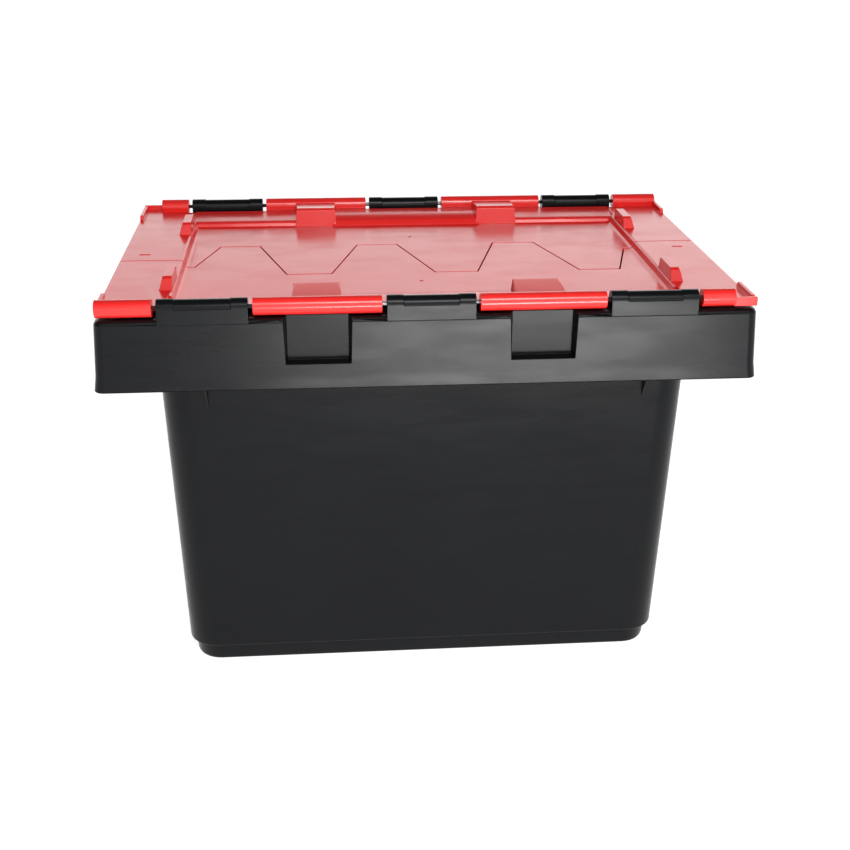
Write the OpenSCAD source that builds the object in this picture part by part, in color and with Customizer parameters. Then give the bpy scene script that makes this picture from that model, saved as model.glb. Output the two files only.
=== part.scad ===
// Attached-lid tote: a tapered nesting tub with two interleaving hinged lid flaps.
// Millimetres. X runs along the long side, Y from front to rear, Z up.
// The origin is the centre of the base and the front long side faces -Y.

/* [Size] */
// Length over the lower edge of the skirt
skirt_length = 600; // [560:5:700]
// Width over the lower edge of the skirt
skirt_width = 400; // [380:5:460]
// Height from the floor to the top of the lid barrels
overall_height = 400; // [250:5:450]

/* [Tub] */
// Wall thickness of the tub
wall = 3; // [2:0.5:4]
// Slope of the tapered walls, in degrees
wall_draft = 1.75; // [0.5:0.25:4]
// Outer corner radius of the tapered body
body_corner_radius = 30; // [15:1:45]
// Distance the skirt stands out past the body at each end
end_overhang = 50.3; // [40:0.1:60]
// Distance the skirt stands out past the body at each long side
side_overhang = 39.4; // [34:0.1:48]
// Height of the stepped foot
foot_height = 19.5; // [10:0.5:30]
// Distance the foot steps in from the body
foot_inset = 5.5; // [3:0.5:10]
// Radius around the lower edge of the foot
foot_round = 4; // [2:0.5:6]

/* [Skirt] */
// Height of the skirt, from the rim down to its lower edge
skirt_height = 65; // [55:1:80]
// Outward lean of the skirt between the rim and its lower edge
skirt_lean = 3; // [1:0.5:6]
// Extra flare of the band along the lower edge
band_flare = 1; // [0.5:0.5:2]
// Height of the flared band
band_height = 14; // [8:1:20]
// Corner radius of the skirt in plan
skirt_corner_radius = 9; // [8:1:16]
// Radius around the top edge of the skirt
rim_round = 4; // [2:0.5:5]
// Distance of each gusset from the middle of the long side
gusset_position = 205; // [180:1:215]
// Thickness of each gusset
gusset_thickness = 2.5; // [2:0.5:4]
// Length of each gusset down the body below the skirt
gusset_reach = 33.5; // [20:0.5:45]

/* [Skirt pockets] */
// Distance between the two pockets of a long side
pocket_spacing = 202; // [180:1:220]
// Width of a pocket at the rim
pocket_width = 60.8; // [56:0.2:70]
// Height of a pocket below the rim
pocket_height = 42; // [30:1:48]
// Depth of a pocket into the skirt
pocket_depth = 11; // [8:0.5:14]
// Amount each side of a pocket closes in towards its back
pocket_taper = 2.8; // [1:0.2:4]
// Amount each side of a pocket closes in towards its foot
pocket_lean = 1.4; // [0:0.2:3]

/* [Hinges] */
// Distance of the hinge axis in from the skirt's lower edge
hinge_inset = 12.5; // [12:0.5:16]
// Height of the hinge axis above the rim
hinge_rise = 9.7; // [9.2:0.1:12]
// Distance between neighbouring tub knuckles
knuckle_pitch = 201; // [190:1:205]
// Length of each tub knuckle
knuckle_length = 79.4; // [60:0.2:90]
// Radius of the tub knuckles
knuckle_radius = 8; // [7:0.1:8.4]
// Distance the top of a tub knuckle dips between its two collars
knuckle_dip = 0.6; // [0.3:0.1:1.2]
// Length of the full-height collar at each end of a tub knuckle
knuckle_collar = 15; // [8:1:20]
// Radius of the lid barrels
barrel_radius = 8; // [7.5:0.1:8.6]
// Gap along the rod between a lid barrel and a tub knuckle
knuckle_gap = 4; // [2:0.5:6]
// Diameter of the steel hinge rods
rod_diameter = 4; // [3:0.5:6]
// Radial clearance around the rods
rod_clearance = 0.05; // [0.02:0.01:0.1]

/* [Lid flaps] */
// Length of a lid flap
lid_length = 590; // [550:2:690]
// Thickness of the lid moulding
lid_thickness = 3; // [2:0.5:4]
// Gap between the two flaps along the toothed seam
seam_gap = 1.3; // [0.8:0.1:2]
// Reach of the teeth past the centre line
seam_reach = 53; // [20:1:60]
// Offset of the seam from the centre line across the end borders
seam_offset = 22; // [10:1:30]
// Height of the border plate's top below the hinge axis
border_drop = 4; // [3.5:0.1:4.4]
// Height of the recessed field's top below the hinge axis
field_drop = 11.5; // [10:0.1:12.5]
// Distance of the foot of each end wall of the recess in from the end of the flap
recess_end = 66.5; // [64:0.5:80]
// Breadth of each end wall of the recess, with the rounds at its foot and its top
recess_lean = 7; // [5:0.5:8]
// Length of the shorter end barrel
short_barrel = 30; // [20:1:40]

/* [Lid lugs] */
// Width of a middle lug across its top edge
lug_width = 42; // [34:1:48]
// Amount each side of a middle lug spreads towards its foot and towards the barrel
lug_spread = 2; // [1:0.5:3]
// Distance of the foot of a middle lug's inner face from the hinge axis
lug_length = 52.5; // [51.5:0.5:54]
// Distance a middle lug's inner face leans back between its foot and its top
lug_lean = 4; // [3:0.5:10]
// Depth of a middle lug's top below the top of the barrels
lug_drop = 0.7; // [0:0.1:3]
// Width of a corner lug across its top
corner_lug_width = 8.6; // [7.5:0.1:12]
// Amount the outer side of a corner lug spreads at its foot
corner_lug_flare = 3.8; // [1:0.1:5]
// Length of a corner lug along its top
corner_lug_length = 39; // [30:1:50]
// Distance of the middle of a corner lug from the hinge axis
corner_lug_position = 88; // [70:1:100]
// Amount each sloping end of a corner lug spreads at its foot
corner_lug_spread = 5; // [2:0.5:8]
// Height of the upturned lips above the border plate
lip_height = 5; // [3:0.5:6]
// Thickness of the upturned lips
lip_thickness = 3.5; // [2:0.5:4]
// Length of the seal slots
seal_slot_length = 11; // [8:0.5:16]
// Width of the seal slots
seal_slot_width = 3; // [2:0.5:4]

/* [Hidden] */
curve_sides = 96;
small_curve_sides = 48;
hull_sides = 32;
sliver = 0.2;
overlap = 1;
rest_gap = 0.3;
finger_x = [16, 58, 86.5, 130, 160, 201, 222];

half_length = skirt_length / 2;
half_width = skirt_width / 2;
hinge_z = overall_height - barrel_radius;
hinge_y = half_width - hinge_inset;
rim_z = hinge_z - hinge_rise;
skirt_foot_z = rim_z - skirt_height;
band_top_z = skirt_foot_z + band_height;
bore_radius = rod_diameter / 2 + rod_clearance;

lid_half = lid_length / 2;
border_z = hinge_z - border_drop;
field_z = hinge_z - field_drop;
strip_z = hinge_z - 6;
strip_root_z = hinge_z - 2.5;
ridge_z = hinge_z - 2.1;
lug_z = overall_height - lug_drop;
lug_root_z = hinge_z + 3;
lug_crest = 7.5;
lug_chamfer = 2;
slot_flat = 0.4;
notch_y = hinge_y - 12.5;
root_y = hinge_y - 4.5;
outer_wall_y = hinge_y - 51.5;
lug_foot_y = hinge_y - lug_length;
lug_top_y = lug_foot_y + lug_lean;
middle_wall_y = hinge_y - 54;
field_edge_y = hinge_y - 60;
lip_start_y = hinge_y - 46.5;
corner_reach = 6;
gate_y = 82;
gate_radius = 1.6;
gate_depth = 0.5;
recess_half = lid_half - recess_end;
border_x = recess_half + recess_lean;
corner_lug_x = border_x - 1.8;
pocket_x = pocket_spacing / 2;
seal_x = half_length - 27;
rim_slot_length = seal_slot_length + 4;
rim_slot_width = seal_slot_width + 0.6;
short_barrel_end = knuckle_pitch + knuckle_length / 2 + knuckle_gap + short_barrel;
middle_half = pocket_x - lug_width / 2;

tub_colour = [0.03, 0.03, 0.035];
lid_colour = [0.78, 0.03, 0.03];
rod_colour = [0.35, 0.35, 0.36];

// Half the body's length or width at a height, from its overhang under the skirt
function body_half(skirt_half, overhang, z) = skirt_half - overhang + (z - skirt_foot_z) * tan(wall_draft);
function body_x(z) = body_half(half_length, end_overhang, z);
function body_y(z) = body_half(half_width, side_overhang, z);

// Distance the skirt's face lies inside its lower edge at a height
function skirt_inset(z) = band_flare + skirt_lean * (z - skirt_foot_z) / skirt_height;

// Unit vector to the left of the line from a to b
function left_of(a, b) = [a.y - b.y, b.x - a.x] / norm(b - a);
// Corner b moved off the line a-b-c so that both of its edges shift by the same amount
function shifted(a, b, c, amount) =
    b + (left_of(a, b) + left_of(b, c)) * amount / (1 + left_of(a, b) * left_of(b, c));

// The seam between the flaps from one end to the other; it maps onto itself in a half turn
function seam_y(i) = [-1, -1, 1, 1, -1, -1][i] * seam_reach;
seam_half = concat(
    [for (i = [0 : 5]) [finger_x[i], seam_y(i)]],
    [[finger_x[6], seam_offset], [lid_half + 10, seam_offset], [lid_half + 30, seam_offset]]);
seam = concat([for (i = [len(seam_half) - 1 : -1 : 0]) -seam_half[i]], seam_half);

module rounded_rectangle(length, width, radius) {
    square([length, width - 2 * radius], center = true);
    square([length - 2 * radius, width], center = true);
    for (x = [-1, 1], y = [-1, 1])
        translate([x * (length / 2 - radius), y * (width / 2 - radius)])
            circle(r = radius, $fn = curve_sides);
}

// A thin rounded slab whose hull with others gives a drafted wall
module station(half_x, half_y, radius, z) {
    for (x = [-1, 1], y = [-1, 1])
        translate([x * (half_x - radius), y * (half_y - radius), z])
            cylinder(h = sliver, r = radius, $fn = hull_sides);
}

// A profile drawn in Y and Z, extruded along X from x1 to x2
module along_x(x1, x2) {
    translate([x1, 0, 0])
        rotate([90, 0, 90])
            linear_extrude(height = x2 - x1)
                children();
}

module body_block() {
    hull() {
        station(body_x(foot_height) - 1.5, body_y(foot_height) - 1.5, body_corner_radius - 1.5, foot_height);
        station(body_x(foot_height), body_y(foot_height), body_corner_radius, foot_height + 1.5);
        station(body_x(rim_z), body_y(rim_z), body_corner_radius, rim_z - sliver);
    }
}

module foot_block() {
    foot_x = body_x(foot_height) - foot_inset;
    foot_y = body_y(foot_height) - foot_inset;
    hull() {
        station(foot_x - 1 - foot_round, foot_y - 1 - foot_round, body_corner_radius - 8, 0);
        station(foot_x - 1 - foot_round * 0.29, foot_y - 1 - foot_round * 0.29, body_corner_radius - 5,
                foot_round * 0.29);
        station(foot_x - 1, foot_y - 1, body_corner_radius - 4, foot_round);
        station(foot_x, foot_y, body_corner_radius - 4, foot_height);
    }
}

module body_cavity() {
    hull() {
        station(body_x(foot_height) - wall, body_y(foot_height) - wall, body_corner_radius - wall,
                foot_height + wall);
        station(body_x(rim_z) - wall, body_y(rim_z) - wall, body_corner_radius - wall, rim_z + overlap);
    }
    translate([0, 0, wall])
        linear_extrude(height = foot_height + overlap)
            rounded_rectangle(
                2 * (body_x(foot_height) - foot_inset - wall - 1),
                2 * (body_y(foot_height) - foot_inset - wall - 1),
                body_corner_radius - 8);
}

module skirt_block() {
    hull() {
        station(half_length - skirt_inset(skirt_foot_z), half_width - skirt_inset(skirt_foot_z),
                skirt_corner_radius, skirt_foot_z + 1);
        station(half_length - skirt_inset(rim_z - rim_round), half_width - skirt_inset(rim_z - rim_round),
                skirt_corner_radius, rim_z - rim_round);
        station(half_length - skirt_inset(rim_z) - rim_round * 0.29,
                half_width - skirt_inset(rim_z) - rim_round * 0.29,
                skirt_corner_radius - 1, rim_z - rim_round * 0.29 - sliver);
        station(half_length - skirt_inset(rim_z) - rim_round, half_width - skirt_inset(rim_z) - rim_round,
                skirt_corner_radius - rim_round, rim_z - sliver);
    }
}

module skirt_band() {
    hull() {
        station(half_length - 0.6, half_width - 0.6, skirt_corner_radius - 0.6, skirt_foot_z);
        station(half_length, half_width, skirt_corner_radius, skirt_foot_z + 0.6);
        station(half_length - skirt_inset(band_top_z), half_width - skirt_inset(band_top_z),
                skirt_corner_radius, band_top_z);
    }
}

module under_skirt() {
    inner_corner = skirt_corner_radius - wall;
    hull() {
        station(half_length - wall, half_width - wall, inner_corner, skirt_foot_z - overlap);
        station(half_length - skirt_inset(rim_z) - wall, half_width - skirt_inset(rim_z) - wall,
                inner_corner, rim_z - wall - sliver);
    }
}

// One triangular web between the body and the skirt of a long side
module gusset() {
    tip_z = skirt_foot_z - gusset_reach;
    body_face = body_y(tip_z) - wall / 2;
    skirt_face = half_width - skirt_inset(rim_z) - wall / 2;
    along_x(gusset_position - gusset_thickness / 2, gusset_position + gusset_thickness / 2)
        polygon([
            [body_face, tip_z],
            [skirt_face, skirt_foot_z + 25],
            [skirt_face, rim_z - wall / 2],
            [body_y(rim_z) - wall / 2, rim_z - wall / 2]]);
}

// The box standing behind a pocket, inside the skirt
module pocket_wall() {
    back_y = half_width - skirt_inset(rim_z) - pocket_depth - wall;
    translate([pocket_x - pocket_width / 2 - wall, back_y, rim_z - pocket_height - wall])
        cube([pocket_width + 2 * wall, pocket_depth + wall / 2 + 1, pocket_height + wall / 2]);
}

// The pocket itself: open in front and at the rim, closing in towards its back and its foot
module pocket() {
    top = pocket_width / 2;
    front_y = half_width - skirt_inset(rim_z);
    back_y = front_y - pocket_depth;
    foot_z = rim_z - pocket_height;
    past = 6;
    translate([pocket_x, 0, 0])
        intersection() {
            translate([0, half_width + past, 0])
                rotate([90, 0, 0])
                    linear_extrude(height = pocket_depth + 3 * past)
                        polygon([
                            [-top, rim_z + past],
                            [-top, rim_z],
                            [-top + pocket_lean, foot_z],
                            [top - pocket_lean, foot_z],
                            [top, rim_z],
                            [top, rim_z + past]]);
            translate([0, 0, foot_z - past])
                linear_extrude(height = pocket_height + 3 * past)
                    polygon([
                        [-top + pocket_taper, back_y],
                        [-top, front_y],
                        [-top, half_width + past],
                        [top, half_width + past],
                        [top, front_y],
                        [top - pocket_taper, back_y]]);
        }
}

// One tub knuckle: a barrel on a web that rises from the rim, flush with the skirt
module tub_knuckle() {
    web_foot_z = rim_z - rim_round - 1;
    face_y = half_width - skirt_inset(web_foot_z);
    waist = knuckle_length - 2 * knuckle_collar;
    difference() {
        union() {
            along_x(-knuckle_length / 2, knuckle_length / 2)
                translate([hinge_y, hinge_z])
                    circle(r = knuckle_radius, $fn = curve_sides);
            along_x(-knuckle_length / 2, knuckle_length / 2)
                polygon([
                    [hinge_y - knuckle_radius, rim_z - wall / 2],
                    [hinge_y - knuckle_radius, hinge_z],
                    [hinge_y + knuckle_radius, hinge_z],
                    [face_y, web_foot_z],
                    [face_y - wall + 0.5, web_foot_z],
                    [face_y - wall + 0.5, rim_z - wall / 2]]);
        }
        difference() {
            translate([-waist / 2, hinge_y - 2 * knuckle_radius, hinge_z])
                cube([waist, 4 * knuckle_radius, 2 * knuckle_radius]);
            along_x(-waist / 2 - overlap, waist / 2 + overlap)
                translate([hinge_y, hinge_z - knuckle_dip])
                    circle(r = knuckle_radius, $fn = curve_sides);
        }
    }
}

// The gussets, pocket walls and knuckles of the rear long side
module side_fittings() {
    gusset();
    mirror([1, 0, 0])
        gusset();
    pocket_wall();
    mirror([1, 0, 0])
        pocket_wall();
    for (i = [-1 : 1])
        translate([i * knuckle_pitch, 0, 0])
            tub_knuckle();
}

// The pockets and the rod bore of the rear long side
module side_cuts() {
    pocket();
    mirror([1, 0, 0])
        pocket();
    along_x(-half_length, half_length)
        translate([hinge_y, hinge_z])
            circle(r = bore_radius, $fn = small_curve_sides);
}

module seal_slot(length, width, z1, z2) {
    translate([0, 0, z1])
        linear_extrude(height = z2 - z1)
            rounded_rectangle(length, width, width / 2 - slot_flat);
}

module tub() {
    color(tub_colour)
        difference() {
            union() {
                body_block();
                foot_block();
                difference() {
                    union() {
                        skirt_block();
                        skirt_band();
                    }
                    under_skirt();
                }
                side_fittings();
                rotate([0, 0, 180])
                    side_fittings();
            }
            body_cavity();
            side_cuts();
            rotate([0, 0, 180])
                side_cuts();
            for (side = [-1, 1])
                translate([side * seal_x, 0, 0])
                    seal_slot(rim_slot_length, rim_slot_width, rim_z - 2 * wall, rim_z + overlap);
        }
}

// Everything on this flap's side of the toothed seam
module own_side() {
    last = len(seam) - 2;
    translate([0, 0, field_z - 20])
        linear_extrude(height = 60)
            polygon(concat(
                [for (i = [1 : last]) shifted(seam[i - 1], seam[i], seam[i + 1], -seam_gap / 2)],
                [[lid_half + 10, -half_width], [-lid_half - 10, -half_width]]));
}

// A profile drawn in X and Z, extruded along Y from -y1 to y2
module along_y(y1, y2) {
    translate([0, y2, 0])
        rotate([90, 0, 0])
            linear_extrude(height = y1 + y2)
                children();
}

// The flat field, the rounded end walls of the recess and the two end borders
module sheet() {
    past_seam = seam_reach + 10;
    rise = border_z - field_z;
    translate([-recess_half - overlap, -field_edge_y, field_z - lid_thickness])
        cube([2 * (recess_half + overlap), field_edge_y + past_seam, lid_thickness]);
    for (side = [0, 1])
        mirror([side, 0, 0]) {
            along_y(outer_wall_y + 2, past_seam)
                polygon([
                    [recess_half, field_z - lid_thickness],
                    [recess_half, field_z],
                    [recess_half + 0.36 * recess_lean, field_z + 0.16 * rise],
                    [recess_half + 0.64 * recess_lean, field_z + 0.84 * rise],
                    [border_x, border_z],
                    [border_x + lid_thickness, border_z],
                    [border_x + lid_thickness, border_z - lid_thickness],
                    [recess_half + 0.36 * recess_lean + lid_thickness, field_z - lid_thickness]]);
            translate([border_x, -root_y, border_z - lid_thickness])
                cube([lid_half - border_x, root_y + past_seam, lid_thickness]);
        }
}

// The strip between the recess and the barrels, outside the middle lugs
module outer_strip() {
    along_x(pocket_x + lug_width / 2 - 1, border_x + overlap)
        polygon([
            [-field_edge_y + 1, field_z - lid_thickness],
            [-field_edge_y + 1, field_z],
            [-outer_wall_y, field_z],
            [-outer_wall_y - 1.5, strip_z - 2],
            [-outer_wall_y - 3.5, strip_z - 0.7],
            [-outer_wall_y - 7, strip_z],
            [-root_y, strip_root_z],
            [-root_y, strip_root_z - lid_thickness],
            [-outer_wall_y - 7.5, strip_z - lid_thickness],
            [-outer_wall_y - lid_thickness - 2, strip_z - lid_thickness - 1],
            [-outer_wall_y - lid_thickness, field_z - lid_thickness]]);
}

// The higher strip between the two middle lugs, sloping down to the field
module middle_strip() {
    along_x(-middle_half - 2, middle_half + 2)
        polygon([
            [-field_edge_y + 1, field_z - lid_thickness],
            [-field_edge_y + 1, field_z],
            [-middle_wall_y, field_z],
            [-middle_wall_y - 1, field_z + 1.6],
            [-middle_wall_y - 4, field_z + 5],
            [-middle_wall_y - 9, field_z + 7.2],
            [-middle_wall_y - 17, ridge_z - 0.6],
            [-middle_wall_y - 25, ridge_z],
            [-root_y, ridge_z],
            [-root_y, ridge_z - lid_thickness],
            [-middle_wall_y - 17, ridge_z - lid_thickness - 0.6],
            [-middle_wall_y - 10, field_z + 4],
            [-middle_wall_y - 6, field_z + 2],
            [-middle_wall_y - 3, field_z - lid_thickness]]);
}

// A middle lug, solid: its inner face leans back and its sides lean out towards the foot and the barrel
module middle_lug() {
    top = lug_width / 2;
    foot = top + lug_spread;
    foot_z = field_z - lid_thickness;
    intersection() {
        along_x(-foot, foot)
            polygon([
                [-field_edge_y + 1, foot_z],
                [-field_edge_y + 1, field_z],
                [-lug_foot_y, field_z],
                [-lug_top_y + lug_chamfer / 2, lug_z - lug_chamfer],
                [-lug_top_y - lug_chamfer, lug_z],
                [-lug_top_y - lug_crest, lug_z],
                [-root_y, lug_root_z],
                [-root_y, hinge_z - barrel_radius + 1],
                [-outer_wall_y - 14, strip_z - lid_thickness],
                [-outer_wall_y - 8, foot_z]]);
        along_y(half_width, 0)
            polygon([
                [-foot, foot_z],
                [-foot, field_z],
                [-top - lug_spread / 2, lug_z - lug_chamfer],
                [-top - lug_spread / 2 + lug_chamfer, lug_z],
                [top + lug_spread / 2 - lug_chamfer, lug_z],
                [top + lug_spread / 2, lug_z - lug_chamfer],
                [foot, field_z],
                [foot, foot_z]]);
        translate([0, 0, foot_z])
            linear_extrude(height = lug_z - foot_z)
                polygon([
                    [-foot, -field_edge_y + 1],
                    [-foot, -lug_foot_y],
                    [-top, -lug_top_y],
                    [-top, -lug_top_y - lug_crest],
                    [-foot, -root_y],
                    [foot, -root_y],
                    [top, -lug_top_y - lug_crest],
                    [top, -lug_top_y],
                    [foot, -lug_foot_y],
                    [foot, -field_edge_y + 1]]);
    }
}

// The hollow under a middle lug, open below
module middle_lug_hollow() {
    half = lug_width / 2 - lid_thickness;
    rise = lug_z - field_z;
    face = lid_thickness * norm([lug_lean, rise]) / rise;
    below = 2 * lid_thickness;
    along_x(-half, half)
        polygon([
            [-lug_foot_y - face + below * lug_lean / rise, field_z - below],
            [-lug_top_y - face + lid_thickness * lug_lean / rise, lug_z - lid_thickness],
            [-lug_top_y - lug_crest, lug_z - lid_thickness],
            [-root_y + 5, lug_root_z - lid_thickness],
            [-root_y + 5, strip_z - below],
            [-outer_wall_y - 9, field_z - below]]);
}

// A corner lug, less the given amount all round; its ends and its outer side lean out towards the foot
module corner_lug(inset) {
    inner_x = corner_lug_x + inset;
    top_x = inner_x + corner_lug_width - 2 * inset;
    middle_y = corner_lug_position - hinge_y;
    half = corner_lug_length / 2 - inset;
    foot_z = border_z - (inset > 0 ? 2 * lid_thickness : overlap);
    top_z = overall_height - inset;
    intersection() {
        along_x(inner_x, top_x + corner_lug_flare)
            polygon([
                [middle_y - half - corner_lug_spread, foot_z],
                [middle_y - half - lug_chamfer / 2, top_z - lug_chamfer],
                [middle_y - half + lug_chamfer, top_z],
                [middle_y + half - lug_chamfer, top_z],
                [middle_y + half + lug_chamfer / 2, top_z - lug_chamfer],
                [middle_y + half + corner_lug_spread, foot_z]]);
        along_y(hinge_y, 0)
            polygon([
                [inner_x, foot_z],
                [inner_x, top_z],
                [top_x, top_z],
                [top_x + corner_lug_flare, foot_z]]);
    }
}

// The barrels the rod runs through: a long one at one end and a short one at the other
module barrels() {
    first = knuckle_length / 2 + knuckle_gap;
    for (span = [
            [-lid_half + 1, -knuckle_pitch - first],
            [-knuckle_pitch + first, -first],
            [first, knuckle_pitch - first],
            [knuckle_pitch + first, short_barrel_end]])
        along_x(span[0], span[1])
            translate([-hinge_y, hinge_z])
                circle(r = barrel_radius, $fn = curve_sides);
}

// The upturned lips along the ends of the flap, and the plate corner beyond the short barrel
module lips() {
    corner_y = hinge_y + corner_reach;
    for (end = [[-lid_half, hinge_y], [lid_half - lip_thickness, corner_y]])
        along_x(end[0], end[0] + lip_thickness)
            polygon([
                [-lip_start_y, border_z - lid_thickness],
                [-lip_start_y, border_z],
                [-lip_start_y - 3, border_z + lip_height],
                [-end[1], border_z + lip_height],
                [-end[1], border_z - lid_thickness]]);
    along_x(short_barrel_end - 1, lid_half)
        polygon([
            [-root_y + 1, border_z - lid_thickness],
            [-root_y + 1, border_z],
            [-corner_y + lip_thickness, border_z],
            [-corner_y + lip_thickness, border_z + lip_height],
            [-corner_y, border_z + lip_height],
            [-corner_y, border_z - lid_thickness]]);
}

// The ribs under the end borders that come down on the tub's rim
module rest_ribs() {
    for (side = [-1, 1])
        translate([side * (seal_x - 11) - 1.25, -outer_wall_y, rim_z + rest_gap])
            cube([2.5, outer_wall_y - 40, border_z - lid_thickness - rim_z + overlap]);
}

// One flap of the lid, closed, hinged along the front
module lid_flap() {
    clear = knuckle_length / 2 + knuckle_gap;
    color(lid_colour)
        difference() {
            union() {
                intersection() {
                    sheet();
                    own_side();
                }
                middle_strip();
                for (side = [0, 1])
                    mirror([side, 0, 0]) {
                        outer_strip();
                        corner_lug(0);
                        translate([pocket_x, 0, 0])
                            middle_lug();
                    }
                barrels();
                lips();
                rest_ribs();
            }
            for (side = [0, 1])
                mirror([side, 0, 0]) {
                    corner_lug(lid_thickness - 0.8);
                    translate([pocket_x, 0, 0])
                        middle_lug_hollow();
                }
            for (i = [-1 : 1])
                translate([i * knuckle_pitch - clear, -half_width, field_z])
                    cube([2 * clear, half_width - notch_y, overall_height - field_z + overlap]);
            along_x(-half_length, half_length)
                translate([-hinge_y, hinge_z])
                    circle(r = bore_radius, $fn = small_curve_sides);
            translate([seal_x, 0, 0])
                seal_slot(seal_slot_length, seal_slot_width, border_z - 2 * lid_thickness,
                          border_z + overlap);
            translate([0, -gate_y, field_z - gate_depth])
                cylinder(h = overlap, r = gate_radius, $fn = small_curve_sides);
        }
}

// One steel hinge rod, along the front
module hinge_rod() {
    color(rod_colour)
        along_x(-lid_half + 4, short_barrel_end - 2)
            translate([-hinge_y, hinge_z])
                circle(r = rod_diameter / 2, $fn = small_curve_sides);
}

tub();
lid_flap();  // front_lid_flap
rotate([0, 0, 180]) lid_flap();  // rear_lid_flap
hinge_rod();  // front_hinge_rod
rotate([0, 0, 180]) hinge_rod();  // rear_hinge_rod
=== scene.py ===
"""Looks of the attached lid tote: satin black tub, glossy red lid flaps, dull steel rods, plain studio.

Metres. X runs along the long side, Y from front to rear, Z up, as in the CAD frame.
"""

import math

import bpy
from mathutils import Matrix, Vector

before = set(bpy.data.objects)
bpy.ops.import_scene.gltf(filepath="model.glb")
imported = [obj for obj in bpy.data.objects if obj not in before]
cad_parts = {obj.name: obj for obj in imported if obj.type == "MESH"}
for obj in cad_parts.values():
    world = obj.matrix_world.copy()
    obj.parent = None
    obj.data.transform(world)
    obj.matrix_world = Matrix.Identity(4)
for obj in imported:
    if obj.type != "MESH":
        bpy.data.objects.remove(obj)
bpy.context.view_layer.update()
scene = bpy.context.scene
MM = 0.001

# Edges of the mouldings: how far they are rounded, and how sharp an edge has to be
EDGE_ROUND = 0.5 * MM
EDGE_SEGMENTS = 3
EDGE_ANGLE = 20
# Points nearer than this are one point, and faces that turn less than this are one face
SAME_POINT = 0.01 * MM
SAME_FACE_ANGLE = 0.5

TUB_IOR = 1.25
LID_IOR = 1.49

# Half the side of the square floor, and the light that it gives off itself, which keeps shadows faint
FLOOR_REACH = 30.0
FLOOR_GLOW = 0.88

# Brightness of the surroundings by angle in degrees: 0 level in front, 90 overhead, 180 level behind
SKY_BRIGHTNESS = 1.85
SKY = [
    (0.0, 0.50), (3.6, 0.95), (16.2, 0.95),
    (25.2, 0.36), (46.8, 0.36),
    (55.8, 0.05), (145.8, 0.05),
    (152.1, 0.95), (180.0, 0.95)]


# ---------------------------------------------------------------- node helpers

def grey(level):
    return (level, level, level, 1.0)


class Nodes:
    """A small wrapper that adds and links shader nodes."""

    def __init__(self, tree):
        self.tree = tree
        tree.nodes.clear()

    def add(self, kind, values, **settings):
        """A node with its settings; a value that is a socket is linked, any other is set."""
        node = self.tree.nodes.new(kind)
        for name, value in settings.items():
            setattr(node, name, value)
        for key, value in values.items():
            if isinstance(value, bpy.types.NodeSocket):
                self.tree.links.new(value, node.inputs[key])
            else:
                node.inputs[key].default_value = value
        return node

    def position(self, kind):
        """Where the point is: by Object for a surface, by Generated for a direction of the world."""
        return self.add("ShaderNodeTexCoord", {}).outputs[kind]

    def calc(self, operation, a, b):
        return self.add("ShaderNodeMath", {0: a, 1: b}, operation=operation).outputs[0]

    def span(self, value, low, high, out_low=0.0, out_high=1.0):
        """Value taken smoothly from low..high to out_low..out_high."""
        return self.add(
            "ShaderNodeMapRange",
            {"Value": value, "From Min": low, "From Max": high, "To Min": out_low, "To Max": out_high},
            interpolation_type="SMOOTHSTEP",
        ).outputs["Result"]

    def stretch(self, where, scale):
        return self.add("ShaderNodeMapping", {"Vector": where, "Scale": scale}).outputs["Vector"]

    def noise(self, where, scale, detail, roughness):
        return self.add(
            "ShaderNodeTexNoise",
            {"Vector": where, "Scale": scale, "Detail": detail, "Roughness": roughness},
        ).outputs["Fac"]

    def mix(self, share, first, second):
        """From the first colour to the second; sockets 6, 7 and 2 are the colour ones of this node."""
        return self.add("ShaderNodeMix", {0: share, 6: first, 7: second}, data_type="RGBA").outputs[2]

    def bump(self, height, strength, distance, normal=None):
        values = {"Height": height, "Strength": strength, "Distance": distance}
        if normal is not None:
            values["Normal"] = normal
        return self.add("ShaderNodeBump", values).outputs["Normal"]

    def surface(self, values):
        """A principled shader with these values, as the material's surface."""
        shader = self.add("ShaderNodeBsdfPrincipled", values)
        self.add("ShaderNodeOutputMaterial", {"Surface": shader.outputs[0]})


def material(name):
    """A new material and the wrapper of its emptied node tree."""
    made = bpy.data.materials.new(name)
    made.use_nodes = True
    return made, Nodes(made.node_tree)


# ---------------------------------------------------------------- materials

def tub_plastic():
    """Satin black polypropylene: fine grain, soft mottling and a few handling scuffs."""
    made, n = material("satin_black_plastic")
    place = n.position("Object")
    mottle = n.noise(place, scale=6.0, detail=4.0, roughness=0.55)
    smear = n.noise(n.stretch(place, (3.0, 3.0, 14.0)), scale=4.0, detail=5.0, roughness=0.6)
    grain = n.noise(place, scale=1500.0, detail=2.0, roughness=0.6)
    scuff_lines = n.noise(n.stretch(place, (9.0, 9.0, 60.0)), scale=6.0, detail=6.0, roughness=0.7)
    scuffs = n.span(scuff_lines, 0.66, 0.78)
    base = n.mix(mottle, (0.0030, 0.0033, 0.0040, 1.0), (0.0052, 0.0056, 0.0066, 1.0))
    base = n.mix(n.calc("MULTIPLY", scuffs, 0.14), base, (0.040, 0.040, 0.043, 1.0))
    rough = n.span(smear, 0.3, 0.7, out_low=0.24, out_high=0.31)
    rough = n.calc("ADD", rough, n.calc("MULTIPLY", scuffs, 0.05))
    wave = n.noise(place, scale=9.0, detail=2.0, roughness=0.4)
    normal = n.bump(wave, strength=0.25, distance=1.2 * MM)
    normal = n.bump(grain, strength=0.10, distance=0.08 * MM, normal=normal)
    n.surface({"Base Color": base, "Roughness": rough, "Normal": normal, "IOR": TUB_IOR})
    return made


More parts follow.
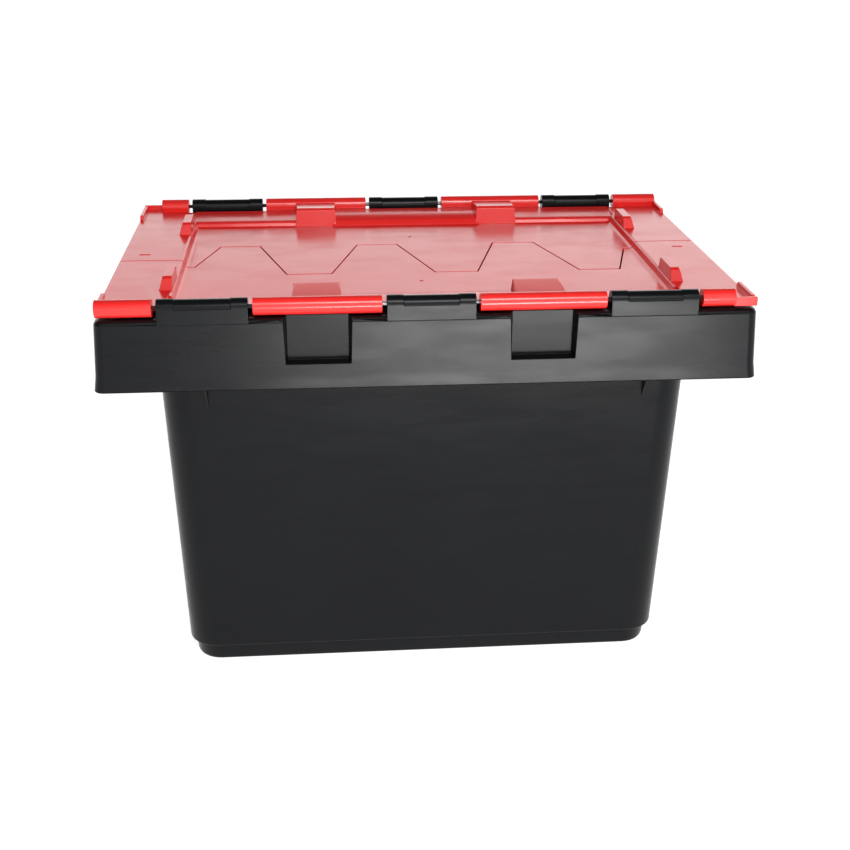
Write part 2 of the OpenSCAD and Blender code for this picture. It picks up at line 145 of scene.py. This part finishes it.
def lid_plastic():
    """Glossy red polypropylene: slight sink waves, fine grain and faint rubbing."""
    made, n = material("glossy_red_plastic")
    place = n.position("Object")
    mottle = n.noise(place, scale=7.0, detail=3.0, roughness=0.5)
    smear = n.noise(n.stretch(place, (4.0, 9.0, 4.0)), scale=5.0, detail=5.0, roughness=0.6)
    grain = n.noise(place, scale=1200.0, detail=2.0, roughness=0.6)
    base = n.mix(mottle, (0.74, 0.018, 0.017, 1.0), (0.82, 0.025, 0.022, 1.0))
    rough = n.span(smear, 0.3, 0.7, out_low=0.16, out_high=0.26)
    wave = n.noise(place, scale=11.0, detail=2.0, roughness=0.4)
    normal = n.bump(wave, strength=0.25, distance=1.2 * MM)
    normal = n.bump(grain, strength=0.10, distance=0.06 * MM, normal=normal)
    n.surface({"Base Color": base, "Roughness": rough, "Normal": normal, "IOR": LID_IOR})
    return made


def rod_steel():
    """Drawn steel wire, slightly dull, with fine lengthwise marks."""
    made, n = material("drawn_steel")
    place = n.position("Object")
    draw = n.noise(n.stretch(place, (4.0, 900.0, 900.0)), scale=3.0, detail=3.0, roughness=0.6)
    base = n.mix(draw, (0.30, 0.30, 0.31, 1.0), (0.46, 0.46, 0.47, 1.0))
    rough = n.span(draw, 0.3, 0.7, out_low=0.28, out_high=0.45)
    normal = n.bump(draw, strength=0.2, distance=0.05 * MM)
    n.surface({"Base Color": base, "Roughness": rough, "Normal": normal, "Metallic": 1.0})
    return made


def floor_paint():
    """Matt pale grey with a glow of its own that brings it near white."""
    made, n = material("pale_floor")
    tone = n.noise(n.position("Object"), scale=2.0, detail=2.0, roughness=0.5)
    n.surface({
        "Base Color": n.mix(tone, grey(0.52), grey(0.54)),
        "Roughness": 0.9,
        "Specular IOR Level": 0.0,
        "Emission Color": grey(1.0),
        "Emission Strength": FLOOR_GLOW})
    return made


# ---------------------------------------------------------------- the tote

def dress(name, look):
    """Gives a CAD node its material and smooth shading, and merges its flat faces by modifiers."""
    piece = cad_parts[name]
    piece.data.materials.clear()
    piece.data.materials.append(look)
    weld = piece.modifiers.new("weld", "WELD")
    weld.merge_threshold = SAME_POINT
    flat = piece.modifiers.new("flat", "DECIMATE")
    flat.decimate_type = "DISSOLVE"
    flat.angle_limit = math.radians(SAME_FACE_ANGLE)
    for face in piece.data.polygons:
        face.use_smooth = True
    return piece


def round_edges(piece):
    """Rounds a moulding's sharp edges and keeps the shading of its broad faces flat."""
    bevel = piece.modifiers.new("edges", "BEVEL")
    bevel.width = EDGE_ROUND
    bevel.segments = EDGE_SEGMENTS
    bevel.limit_method = "ANGLE"
    bevel.angle_limit = math.radians(EDGE_ANGLE)
    bevel.use_clamp_overlap = False
    bevel.miter_outer = "MITER_ARC"
    settle = piece.modifiers.new("normals", "WEIGHTED_NORMAL")
    settle.weight = 100


def tote():
    """Dresses every piece of the CAD model."""
    black = tub_plastic()
    red = lid_plastic()
    steel = rod_steel()
    round_edges(dress("tub", black))
    for side in ("front", "rear"):
        round_edges(dress(f"{side}_lid_flap", red))
        dress(f"{side}_hinge_rod", steel)


# ---------------------------------------------------------------- studio

def floor():
    """A wide square at height zero, under the tote."""
    corners = [(x * FLOOR_REACH, y * FLOOR_REACH, 0) for x, y in ((-1, -1), (1, -1), (1, 1), (-1, 1))]
    mesh = bpy.data.meshes.new("floor")
    mesh.from_pydata(corners, [], [(0, 1, 2, 3)])
    plane = bpy.data.objects.new("floor", mesh)
    plane.data.materials.append(floor_paint())
    scene.collection.objects.link(plane)


def surroundings():
    """Light by direction: bright low in front and behind, dark overhead, brighter from the right."""
    world = bpy.data.worlds.new("studio")
    scene.world = world
    world.use_nodes = True
    n = Nodes(world.node_tree)
    axes = n.add("ShaderNodeSeparateXYZ", {"Vector": n.position("Generated")}).outputs
    turn = n.calc("ARCTAN2", axes["Z"], n.calc("MULTIPLY", axes["Y"], -1.0))
    ramp = n.add("ShaderNodeValToRGB", {"Fac": n.calc("DIVIDE", turn, math.pi)})
    stops = ramp.color_ramp.elements
    stops.remove(stops[0])
    for i, (angle, level) in enumerate(SKY):
        share = angle / 180
        stop = stops[0] if i == 0 else stops.new(share)
        stop.position = share
        stop.color = grey(level)
    side = n.span(axes["X"], -0.9, 0.9, out_low=0.75, out_high=1.15)
    strength = n.calc("MULTIPLY", ramp.outputs["Color"], n.calc("MULTIPLY", side, SKY_BRIGHTNESS))
    light = n.add("ShaderNodeBackground", {"Color": grey(1.0), "Strength": strength})
    n.add("ShaderNodeOutputWorld", {"Surface": light.outputs[0]})


def softbox(name, place, target, size, power, spread):
    """A rectangular light, hidden from the camera, facing its target; power in watts, spread in degrees."""
    lamp = bpy.data.lights.new(name, "AREA")
    lamp.shape = "RECTANGLE"
    lamp.size, lamp.size_y = size
    lamp.energy = power
    lamp.spread = math.radians(spread)
    made = bpy.data.objects.new(name, lamp)
    scene.collection.objects.link(made)
    made.location = place
    made.rotation_euler = (Vector(target) - Vector(place)).to_track_quat("-Z", "Y").to_euler()
    made.visible_camera = False


def lights():
    """A softbox up in front of the lid, and a low card that gives the skirt its broad sheen."""
    softbox(
        "key_softbox", place=(0.22, -1.76, 1.92), target=(0.0, -0.1, 0.35),
        size=(0.9, 0.65), power=26.0, spread=180.0)
    softbox(
        "low_card", place=(0.22, -1.35, 0.11), target=(0.0, 0.0, 0.40),
        size=(0.72, 0.20), power=1.15, spread=55.0)


def camera():
    """A look from the front, a little left of centre and above the lid, with a slight roll."""
    azimuth = math.radians(-4.87)
    elevation = math.radians(23.25)
    roll = math.radians(0.39)
    distance = 1.3753
    target = Vector((0.0111, 0.0, 0.1932))
    back = Vector((
        math.sin(azimuth) * math.cos(elevation),
        -math.cos(azimuth) * math.cos(elevation),
        math.sin(elevation)))
    level = Vector((math.cos(azimuth), math.sin(azimuth), 0.0))
    upright = back.cross(level)
    right = math.cos(roll) * level + math.sin(roll) * upright
    up = math.cos(roll) * upright - math.sin(roll) * level
    turned = Matrix((right, up, back)).transposed().to_4x4()
    lens = bpy.data.cameras.new("camera")
    lens.lens = 53.69
    lens.sensor_width = 36.0
    lens.clip_start = 0.05
    made = bpy.data.objects.new("camera", lens)
    scene.collection.objects.link(made)
    made.matrix_world = Matrix.Translation(target + distance * back) @ turned
    scene.camera = made


tote()
camera()
floor()
surroundings()
lights()
scene.view_settings.view_transform = "Standard"
